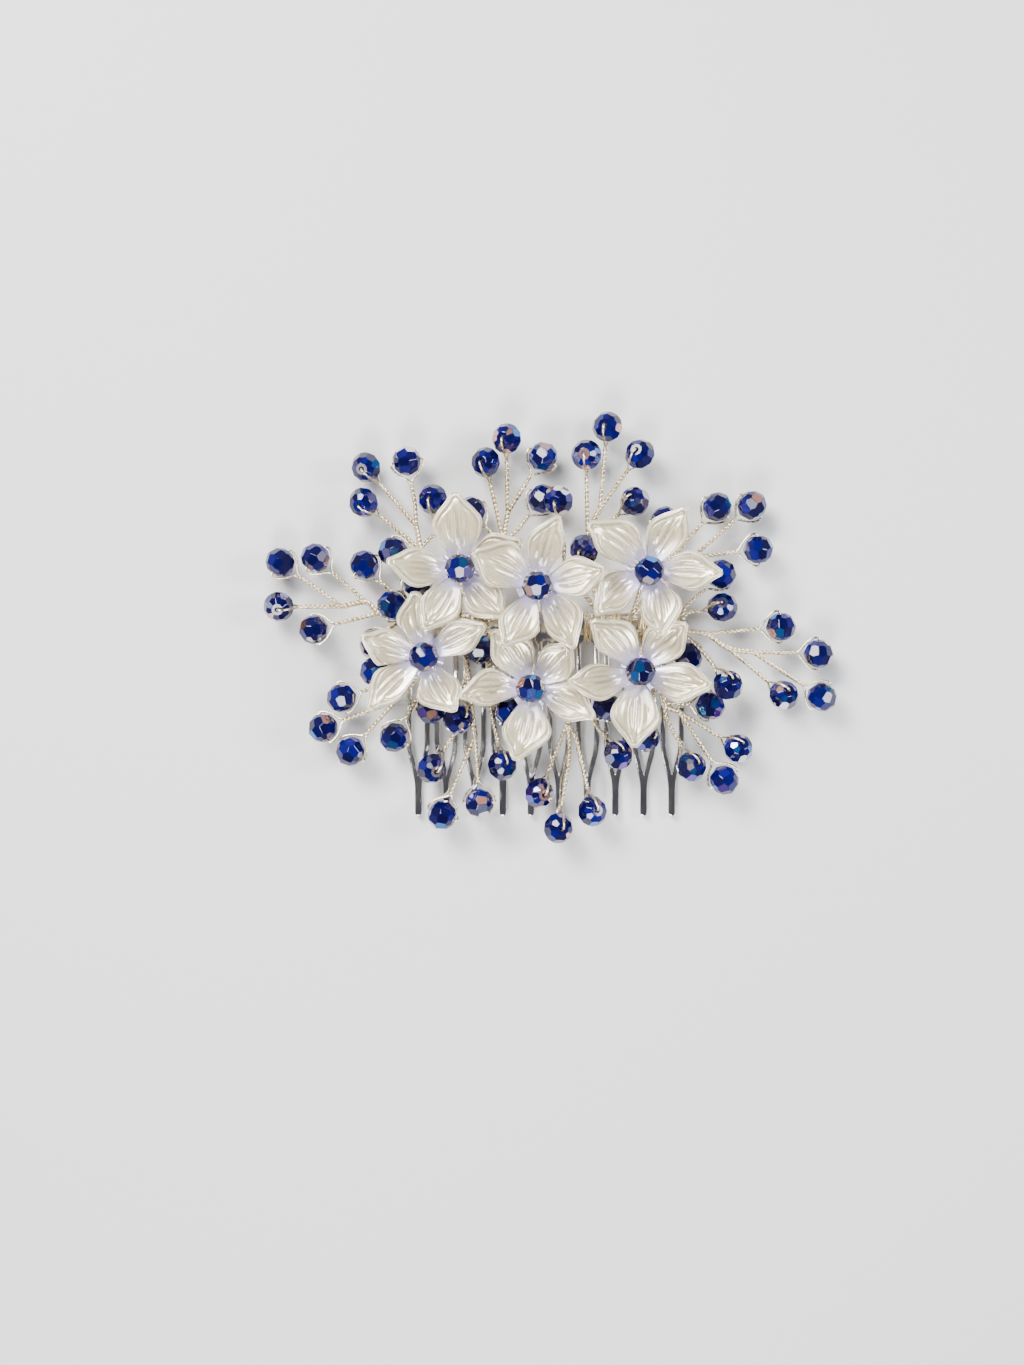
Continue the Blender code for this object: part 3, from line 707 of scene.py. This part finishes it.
def tieWire(name):
    # the wire that holds a flower down: up through the hub, through its bead and down between two petals
    joint = joints[f"centre_bead_{name}_spin"]
    centre = Vector(joint["pos_m"])
    petals, gap = flowers[name]
    before, after = petals[gap][0], petals[(gap + 1) % len(petals)][0]
    towards = math.radians(before + (after - before) % 360 / 2)
    out = Vector((math.cos(towards), math.sin(towards), 0))
    hub = Vector((centre.x, centre.y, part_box(f"flower_{name}")[0][2]))
    top = flower["thickness"] + 0.35 * mm
    half = bead["halfLength"]
    clear = flower["gapRadius"] + 0.5 * mm
    up = Vector((0, 0, 1))
    return [
        hub - up * 1.8 * mm,
        hub + up * 0.3 * mm,
        hub + up * (top + 0.1 * mm) - out * 0.5 * mm,
        hub + up * (top + 0.25 * mm) - out * 0.75 * half,
        hub + up * (top + 1.2 * mm) - out * (half + 0.5 * mm),
        centre - out * (half + 0.45 * mm) - up * 0.4 * mm,
        centre - out * (half - 0.6 * mm),
        centre + out * (half - 0.6 * mm),
        centre + out * (half + 0.35 * mm) + up * 0.3 * mm,
        centre + out * (half + 1.1 * mm) - up * 0.4 * mm,
        centre + out * (clear + 0.1 * mm) - up * 2.0 * mm,
        hub + out * (clear + 0.35 * mm) + up * 0.7 * mm,
        hub + out * (0.75 * clear) - up * 1.0 * mm,
        hub - up * 2.0 * mm + out * 0.25 * mm,
    ]


def buildSpray(name):
    layout = sprays[name]
    draw = random.Random("spray " + name)
    named, strands, count, tucked = {}, [], 0, 0
    row = layout["row"]
    starts = set()
    for start, way, beadAt in layout["branches"]:
        if start in named:
            route = [named[start]]
        else:
            route = riser(start, row)
            starts.add(start)
        for point in way:
            if len(point) == 4:
                named[point[0]] = place(point[1:])
                point = point[1:]
            route.append(place(point))
        if beadAt is None:
            strands += bundled(smoothPath(route, wire["step"]))
            continue
        if beadAt is True:
            count += 1
            node = f"bead_{name}_{count}"
            joint = joints[f"{node}_spin"]
            centre, axis = Vector(joint["pos_m"]), Vector(joint["axis"])
            addBead(f"glass_{node}", node, centre, axis, draw, node)
        else:
            tucked += 1
            centre = place(beadAt[:3])
            axis = holeAxisFor((centre - route[-1]).normalized(), beadAt[3])
            addBead(f"tucked_bead_{name}_{tucked}", "root", centre, axis, draw)
        strands.append(beadWire(route, centre, axis))
    for flowerName, gap in layout["ties"].items():
        tie = tieWire(flowerName)
        joint = joints[f"centre_bead_{flowerName}_spin"]
        node = f"centre_bead_{flowerName}"
        addBead(f"glass_{node}", node, Vector(joint["pos_m"]), Vector(joint["axis"]), draw, node)
        strands.append(smoothPath(tie, wire["step"]))
        base = riser(gap, row)
        knee = Vector((tie[0].x, tie[0].y, 0.5 * (base[1].z + tie[0].z)))
        post = smoothPath(base + [knee, tie[0] + Vector((0, 0, 0.4 * mm))], wire["step"])
        strands += twisted(post, 2, wire["radius"], wire["twist"])
        starts.add(gap)
    first, last = layout["foot"]
    ends = [Vector((x, row * wire["rowOffset"], wire["footHeight"]))
            for x in (first * comb["pitch"] - wire["overrun"], last * comb["pitch"] + wire["overrun"])]
    strands += bundled(smoothPath(ends, wire["step"]))
    piece = strandPiece(f"spray_{name}", strands, wire["radius"])
    finishPiece(piece, "wire", "root", f"wire_{name}")
    print(f"spray {name}: {count} free beads, {tucked} tucked away, {len(strands)} strands")


for sprayName in sprays:
    buildSpray(sprayName)


def petalHalfWidth(share):
    # half the petal's width at a share of its length, on a smooth curve through the outline
    stops = flower["outline"]
    at = max(i for i in range(len(stops) - 1) if stops[i][0] <= share or i == 0)
    (x0, y0), (x1, y1) = stops[at], stops[at + 1]
    t = min(max((share - x0) / (x1 - x0), 0), 1)
    if at + 2 == len(stops):
        return y0 * math.sqrt(max(1 - t * t, 0))
    before = stops[at - 1] if at else stops[at]
    after = stops[at + 2]
    rise0 = (y1 - before[1]) / (x1 - before[0])
    rise1 = (after[1] - y0) / (after[0] - x0)
    span = x1 - x0
    return ((2 * t ** 3 - 3 * t ** 2 + 1) * y0 + (t ** 3 - 2 * t ** 2 + t) * span * rise0
            + (3 * t ** 2 - 2 * t ** 3) * y1 + (t ** 3 - t ** 2) * span * rise1)


def petalSway(share, hook):
    # how far the petal's middle line lies to its left: the tip hooks one way and the belly the other
    share = min(max(share, 0), 1)
    return hook * (share ** 4 - 0.5 * math.sin(math.pi * share ** 0.8)) * mm


def petalEdge(length, character, before, after):
    # the petal's edge as (along, across), from the gap on its right round the tip to the gap on its left
    points = []
    start = flower["gapRadius"] * 0.86
    for side, room in ((-1, before), (1, after)):
        limit = math.tan(math.radians(room - 1.2))
        half = []
        for i in range(81):
            along = start + (length - start) * (1 - (1 - i / 80) ** 1.7)
            width = petalHalfWidth(along / length) * character["halfWidth"]
            across = side * width + petalSway(along / length, character["hook"])
            half.append((along, side * min(side * across, along * limit)))
        points += half if side < 0 else list(reversed(half))[1:]
    run = [0.0]
    for (ax, ay), (bx, by) in zip(points, points[1:]):
        run.append(run[-1] + math.hypot(bx - ax, by - ay))
    edge, at = [], 0
    for i in range(flower["columns"]):
        goal = run[-1] * i / (flower["columns"] - 1)
        while at < len(run) - 2 and run[at + 1] < goal:
            at += 1
        t = (goal - run[at]) / max(run[at + 1] - run[at], 1e-12)
        edge.append(Vector((points[at][0] + (points[at + 1][0] - points[at][0]) * t,
                            points[at][1] + (points[at + 1][1] - points[at][1]) * t)))
    return edge


def bell(distance, width):
    return math.exp(-(distance / width) ** 2)


def petalHeight(along, across, edgeDistance, length, character):
    # the petal's upper surface: dished, waved, with a raised rim and sunken veins; also how deep the vein is
    share = min(max(along / length, 0), 1)
    across -= petalSway(share, character["hook"])
    width = max(petalHalfWidth(share) * character["halfWidth"], 0.6 * mm)
    cross = max(-1.2, min(1.2, across / width))
    height = flower["rise"] * share ** 1.6
    height += (0.7 * cross * cross - 0.15) * mm * min(share * 2.2, 1)
    height += character["wave"] * math.sin(share * 5.2 + character["phase"]) * share * mm
    height += character["lean"] * cross * share * mm
    height += character["curl"] * max(0, share - 0.7) ** 2 * 12 * mm
    groove = 0.0
    for line, depth, first, last in character["veins"]:
        window = max(0.0, min(1.0, (share - first) / 0.12)) * max(0.0, min(1.0, (last - share) / 0.2))
        bend = line * width * (0.75 + 0.25 * math.sin(math.pi * share))
        groove += depth * bell(across - bend, flower["veinWidth"]) * window
    outer = min(1, share * 1.6)
    rim = flower["rimHeight"] * bell(edgeDistance - flower["rimInset"], flower["rimWidth"]) * outer
    trench = flower["trenchDepth"] * bell(edgeDistance - flower["trenchInset"], flower["trenchWidth"]) * outer
    falling = 0.3 * mm * bell(edgeDistance, flower["rimWidth"])
    return height + rim - trench - falling - groove * flower["veinDepth"], min(groove, 1)


def buildFlower(name):
    petals, _ = flowers[name]
    draw = random.Random("flower " + name)
    joint = joints[f"centre_bead_{name}_spin"]
    hub = Vector((joint["pos_m"][0], joint["pos_m"][1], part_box(f"flower_{name}")[0][2]))
    columns = []
    for index, (direction, share, hook, breadth) in enumerate(petals):
        before = (direction - petals[index - 1][0]) % 360 / 2
        after = (petals[(index + 1) % len(petals)][0] - direction) % 360 / 2
        length = share * flower["length"]
        character = {
            "hook": hook,
            "halfWidth": breadth * flower["halfWidth"],
            "wave": draw.uniform(0.15, 0.4),
            "phase": draw.uniform(0, math.tau),
            "lean": draw.uniform(-0.6, 0.6),
            "curl": draw.uniform(-0.3, 0.7),
            "veins": draw.choice(flower["veins"]),
        }
        turn = math.radians(direction)
        edge = petalEdge(length, character, before, after)
        for k, point in enumerate(edge):
            inner = math.radians(-before + (before + after) * k / (len(edge) - 1) * 0.99)
            start = Vector((math.cos(inner), math.sin(inner))) * flower["hole"]
            tangent = edge[min(k + 1, len(edge) - 1)] - edge[max(k - 1, 0)]
            line = point - start
            slant = abs(line.x * tangent.y - line.y * tangent.x) / max(line.length * tangent.length, 1e-12)
            columns.append((turn, start, point, slant, length, character))
    surface = bmesh.new()
    way = surface.loops.layers.uv.new("petalWay")
    spots = {}
    tint = surface.verts.layers.float.new("hubTint")
    shade = surface.verts.layers.float.new("groovePaintedShade")
    light = surface.verts.layers.float.new("rimPaintedHighlight")
    tops, bottoms = [], []
    for ring in range(flower["rings"] + 1):
        t = ring / flower["rings"]
        t = 1 - (1 - t) ** flower["ringCrowding"]
        top, bottom = [], []
        for turn, start, point, slant, length, character in columns:
            flat = start.lerp(point, t)
            edgeDistance = (1 - t) * (point - start).length * max(slant, 0.25)
            height, groove = petalHeight(flat.x, flat.y, edgeDistance, length, character)
            plain, _ = petalHeight(flat.x, flat.y, 9 * mm, length, {**character, "veins": ()})
            x = hub.x + flat.x * math.cos(turn) - flat.y * math.sin(turn)
            y = hub.y + flat.x * math.sin(turn) + flat.y * math.cos(turn)
            thick = flower["thickness"]
            upper = surface.verts.new((x, y, hub.z + thick + height))
            under = surface.verts.new((x, y, hub.z + plain + 0.25 * mm * t))
            # the petals turn lilac towards the hub
            pastTint = max(flat.length - flower["tintRadius"], 0)
            for vertex in (upper, under):
                vertex[tint] = 0.8 * math.exp(-(pastTint / flower["tintFade"]) ** 1.5)
            # painted shade: darker in the veins and in the trench inside the rim
            upper[shade] = min(1.0, 0.75 * groove + 0.65 * bell(edgeDistance - 1.05 * mm, 0.2 * mm))
            # painted highlight: lighter along the rim
            onRim = bell(edgeDistance - flower["rimInset"], flower["rimWidth"])
            upper[light] = 0.9 * onRim * min(1.0, 1.4 * t ** 3)
            spots[upper] = spots[under] = (flat.x + 0.1 * len(columns) * turn, flat.y)
            top.append(upper)
            bottom.append(under)
        tops.append(top)
        bottoms.append(bottom)
    total = len(columns)
    for ring in range(flower["rings"]):
        for k in range(total):
            after = (k + 1) % total
            inner, outer = tops[ring], tops[ring + 1]
            surface.faces.new((inner[k], outer[k], outer[after], inner[after]))
            inner, outer = bottoms[ring], bottoms[ring + 1]
            surface.faces.new((inner[k], inner[after], outer[after], outer[k]))
    for k in range(total):
        after = (k + 1) % total
        surface.faces.new((tops[-1][k], bottoms[-1][k], bottoms[-1][after], tops[-1][after]))
        surface.faces.new((tops[0][k], tops[0][after], bottoms[0][after], bottoms[0][k]))
    bmesh.ops.recalc_face_normals(surface, faces=surface.faces)
    for face in surface.faces:
        for corner in face.loops:
            corner[way].uv = spots[corner.vert]
    mesh = bpy.data.meshes.new(f"petals_{name}")
    surface.to_mesh(mesh)
    surface.free()
    mesh.shade_smooth()
    piece = meshPiece(f"petals_{name}", mesh)
    finishPiece(piece, "petal", "root", f"flower_{name}")
    print(f"flower {name}: {len(mesh.polygons)} faces")


for flowerName in flowers:
    buildFlower(flowerName)


def toothX(index):
    return (index - (comb["teeth"] - 1) / 2) * comb["pitch"]


def toothHalfWidth(down):
    bend = comb["taperFrom"] * comb["legsMeet"]
    if down <= bend:
        return comb["toothWidth"] / 2
    share = min((down - bend) / (comb["legsMeet"] + comb["legWidth"] * comb["webLength"] - bend), 1)
    eased = share * share * (3 - 2 * share)
    return comb["toothWidth"] / 2 + (comb["tipWidth"] - comb["toothWidth"]) / 2 * eased


def arc(x, y, radius, start, end, steps):
    angles = [math.radians(start + (end - start) * step / steps) for step in range(steps + 1)]
    return [(x + radius * math.cos(angle), y + radius * math.sin(angle)) for angle in angles]


def combOutlines():
    # the outer edge, and the slot between each tooth's two legs
    endX = toothX(comb["teeth"] - 1) + comb["toothWidth"] / 2
    corner, lower = comb["corner"], -comb["spineLower"]
    outline = arc(endX - corner, comb["spineUpper"] - corner, corner, 0, 90, 8)
    outline += arc(-endX + corner, comb["spineUpper"] - corner, corner, 90, 180, 8)
    levels = [comb["toothLength"] * i / 26 for i in range(2, 25)]
    tipY = lower - comb["toothLength"]
    gapRadius = (comb["pitch"] - comb["toothWidth"]) / 2
    slots = []
    for index in range(comb["teeth"]):
        x = toothX(index)
        outline += [(x - toothHalfWidth(down), lower - down) for down in levels]
        outline += arc(x, tipY + comb["tipWidth"] / 2, comb["tipWidth"] / 2, 180, 360, 10)
        outline += [(x + toothHalfWidth(down), lower - down) for down in reversed(levels)]
        if index < comb["teeth"] - 1:
            outline += arc(x + comb["pitch"] / 2, lower - gapRadius, gapRadius, 180, 0, 6)
        half = comb["toothWidth"] / 2 - comb["legWidth"]
        inside = [comb["legsMeet"] * i / 22 for i in range(3, 22)]
        right = [(x + max(toothHalfWidth(down) - comb["legWidth"], comb["slotHalf"]), lower - down)
                 for down in inside]
        left = [(2 * x - px, py) for px, py in reversed(right)]
        slots.append(arc(x, lower - half, half, 180, 0, 8) + right + [(x, lower - comb["legsMeet"])] + left)
    return [outline] + slots


def buildComb():
    curve = bpy.data.curves.new("comb_plate", "CURVE")
    curve.dimensions = "2D"
    curve.fill_mode = "BOTH"
    curve.extrude = comb["thickness"] / 2 - comb["rounding"]
    curve.bevel_depth = comb["rounding"]
    curve.bevel_resolution = 3
    curve.offset = -comb["rounding"]
    for points in combOutlines():
        spline = curve.splines.new("POLY")
        spline.points.add(len(points) - 1)
        spline.use_cyclic_u = True
        for spot, (x, y) in zip(spline.points, points):
            spot.co = (x, y, 0, 1)
    plate = bpy.data.objects.new("comb_plate", curve)
    plate.location.z = comb["thickness"] / 2
    bpy.context.scene.collection.objects.link(plate)
    makeActive(plate)
    bpy.ops.object.convert(target="MESH")
    plate = bpy.context.object
    bpy.ops.object.transform_apply(location=True, rotation=True, scale=True)
    bpy.ops.object.mode_set(mode="EDIT")
    bpy.ops.mesh.select_all(action="SELECT")
    bpy.ops.mesh.remove_doubles(threshold=0.005 * mm)
    bpy.ops.mesh.beautify_fill()
    bpy.ops.mesh.normals_make_consistent(inside=False)
    bpy.ops.object.mode_set(mode="OBJECT")
    span = comb["toothLength"] - comb["tipFlat"]
    for vertex in plate.data.vertices:
        down = -comb["spineLower"] - vertex.co.y
        if 0 < down < span:
            vertex.co.z += comb["bow"] * math.sin(math.pi * down / span) ** 2
    bpy.ops.object.shade_smooth_by_angle(angle=math.radians(35))
    finishPiece(plate, "comb", "root", "comb")
    print("comb:", len(plate.data.polygons), "faces")


def buildBinding():
    # thin wire lashed round the spine and the sprays' feet, several turns in each tooth's slot
    draw = random.Random("binding")
    back = comb["spineUpper"] + lashing["backGap"]
    front = -comb["spineLower"] - lashing["frontGap"]
    under = lashing["under"]
    top = wire["footHeight"] + lashing["aboveFeet"]
    points = []
    for index in range(comb["teeth"]):
        turns = draw.choice(lashing["turns"])
        for turn in range(turns):
            x = toothX(index) + (turn - (turns - 1) / 2) * lashing["spacing"]
            slip = draw.uniform(-1, 1) * lashing["slip"]
            points += [
                Vector((x, back, 0.6 * mm)),
                Vector((x + slip, back - 0.5 * mm, top - 0.5 * mm)),
                Vector((x + slip, 1.2 * mm, top + 0.1 * mm)),
                Vector((x - slip, -1.2 * mm, top + 0.1 * mm)),
                Vector((x, front + 0.35 * mm, top - 0.6 * mm)),
                Vector((x, front, 0.5 * mm)),
                Vector((x + 0.1 * mm, front + 0.5 * mm, under)),
                Vector((x + 0.3 * mm, back - 0.5 * mm, under)),
            ]
    piece = strandPiece("lashing", [smoothPath(points, lashing["step"])], lashing["radius"])
    finishPiece(piece, "binding", "root", "binding_wire")


buildComb()
buildBinding()
print("comb and lashing done")


def buildFloor():
    deselectAll()
    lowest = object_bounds()[0][2]
    bpy.ops.mesh.primitive_plane_add(size=14, location=(0, 0, lowest - 0.1 * mm))
    floor = bpy.context.object
    floor.name = "floor"
    material, _, shader = principled("paleFloor")
    shader.inputs["Base Color"].default_value = (0.78, 0.78, 0.79, 1)
    shader.inputs["Roughness"].default_value = 0.75
    floor.data.materials.append(material)


def buildLamps():
    for number, (spot, width, power, colour) in enumerate(softBoxes):
        lamp = bpy.data.lights.new(f"softbox{number}", "AREA")
        lamp.size = width
        lamp.energy = power
        lamp.color = colour
        holder = bpy.data.objects.new(f"softbox{number}", lamp)
        holder.location = spot
        holder.rotation_euler = (-Vector(spot)).to_track_quat("-Z", "Y").to_euler()
        bpy.context.scene.collection.objects.link(holder)


def buildSky():
    # light near the floor and dark overhead, so that the plate has something dark to mirror
    world = bpy.data.worlds.new("studio")
    world.use_nodes = True
    sky = world.node_tree
    places = sky.nodes.new("ShaderNodeTexCoord")
    parts = sky.nodes.new("ShaderNodeSeparateXYZ")
    sky.links.new(places.outputs["Generated"], parts.inputs["Vector"])
    stops = (
        (0.0, (0.86, 0.86, 0.87)),
        (0.25, (0.70, 0.71, 0.73)),
        (0.6, (0.26, 0.27, 0.29)),
        (1.0, (0.14, 0.14, 0.16)),
    )
    sky.links.new(ramp(sky, stops, parts.outputs["Z"]), sky.nodes["Background"].inputs["Color"])
    sky.nodes["Background"].inputs["Strength"].default_value = 0.55
    bpy.context.scene.world = world


def buildCamera():
    lens = bpy.data.cameras.new("overhead")
    lens.sensor_fit = "HORIZONTAL"
    lens.sensor_width = 36
    distance = view["height"] - view["focusHeight"]
    lens.lens = 36 * distance / view["fieldWidth"]
    lens.clip_start = 10 * mm
    camera = bpy.data.objects.new("overhead", lens)
    camera.location = (*view["aim"], view["height"])
    bpy.context.scene.collection.objects.link(camera)
    bpy.context.scene.camera = camera


buildFloor()
buildLamps()
buildSky()
buildCamera()
print("stage and camera done")
